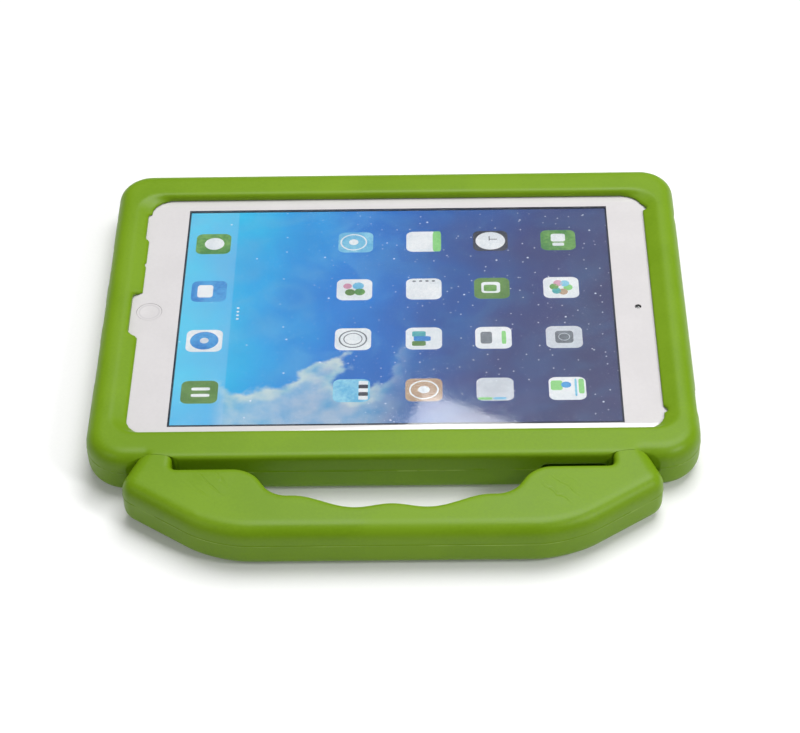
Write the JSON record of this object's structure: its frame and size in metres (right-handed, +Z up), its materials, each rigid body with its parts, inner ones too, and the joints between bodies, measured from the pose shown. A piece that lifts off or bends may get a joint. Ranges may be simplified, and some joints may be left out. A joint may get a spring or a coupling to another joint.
{
  "type": "tablet case",
  "caption": "Thick foam tablet case with a folding carry handle, holding a small tablet with a lit screen, lying on its back.",
  "frame": {"origin": "under the middle of the whole object's outline, on the flat back face that it lies on", "axes": "+X along the case's long side, to the right seen with the handle near; +Y across the case, away from the handle; +Z up out of the screen"},
  "size_m": [0.215, 0.1956, 0.018],
  "materials": {
    "foam": "satin",
    "pin_steel": "satin",
    "hinge_plastic": "matte",
    "housing_metal": "satin",
    "front_glass": "gloss",
    "display": "gloss",
    "white_plastic": "gloss",
    "black_plastic": "matte",
    "battery_foil": "matte",
    "circuit_board": "matte",
    "socket_steel": "satin",
    "lens_glass": "gloss"
  },
  "bodies": {
    "case": {"case_shell": "foam", "hinge_pin_left": "pin_steel", "hinge_pin_right": "pin_steel", "hinge_anchor_left_inner": "hinge_plastic", "hinge_anchor_left_outer": "hinge_plastic", "hinge_anchor_right_inner": "hinge_plastic", "hinge_anchor_right_outer": "hinge_plastic", "tablet_housing": "housing_metal", "front_glass": "front_glass", "display_panel": "display", "home_switch": "black_plastic", "volume_up_switch": "black_plastic", "volume_down_switch": "black_plastic", "sleep_switch": "black_plastic", "mute_switch": "black_plastic", "speaker_far": "black_plastic", "speaker_near": "black_plastic", "headphone_socket": "black_plastic", "front_camera": "black_plastic", "rear_camera": "black_plastic", "battery_cell_left": "battery_foil", "battery_cell_right": "battery_foil", "logic_board": "circuit_board", "charging_socket": "socket_steel", "rear_lens": "lens_glass"},
    "handle": {"handle": "foam", "knuckle_sleeve_left": "hinge_plastic", "knuckle_sleeve_right": "hinge_plastic"},
    "home_button": {"home_button": "white_plastic"},
    "volume_up_key": {"volume_up_key": "housing_metal"},
    "volume_down_key": {"volume_down_key": "housing_metal"},
    "sleep_key": {"sleep_key": "housing_metal"},
    "mute_slider": {"mute_slider": "housing_metal"}
  },
  "joints": [
    {"name": "handle_fold", "type": "hinge", "parent": "case", "child": "handle", "pos_m": [0, -0.0574, 0.0046], "axis": [1, 0, 0], "range_deg": [0, 115]},
    {"name": "home_button_press", "type": "slide", "parent": "case", "child": "home_button", "axis": [0, 0, -1], "range_m": [0, 0.00035], "stiffness_N_per_m": 800, "springref_m": -0.0002},
    {"name": "volume_up_press", "type": "slide", "parent": "case", "child": "volume_up_key", "axis": [0, 1, 0], "range_m": [0, 0.00025], "stiffness_N_per_m": 800, "springref_m": -0.0002},
    {"name": "volume_down_press", "type": "slide", "parent": "case", "child": "volume_down_key", "axis": [0, 1, 0], "range_m": [0, 0.00025], "stiffness_N_per_m": 800, "springref_m": -0.0002},
    {"name": "sleep_press", "type": "slide", "parent": "case", "child": "sleep_key", "axis": [-1, 0, 0], "range_m": [0, 0.00025], "stiffness_N_per_m": 800, "springref_m": -0.0002},
    {"name": "mute_slide", "type": "slide", "parent": "case", "child": "mute_slider", "axis": [1, 0, 0], "range_m": [0, 0.0014]}
  ]
}
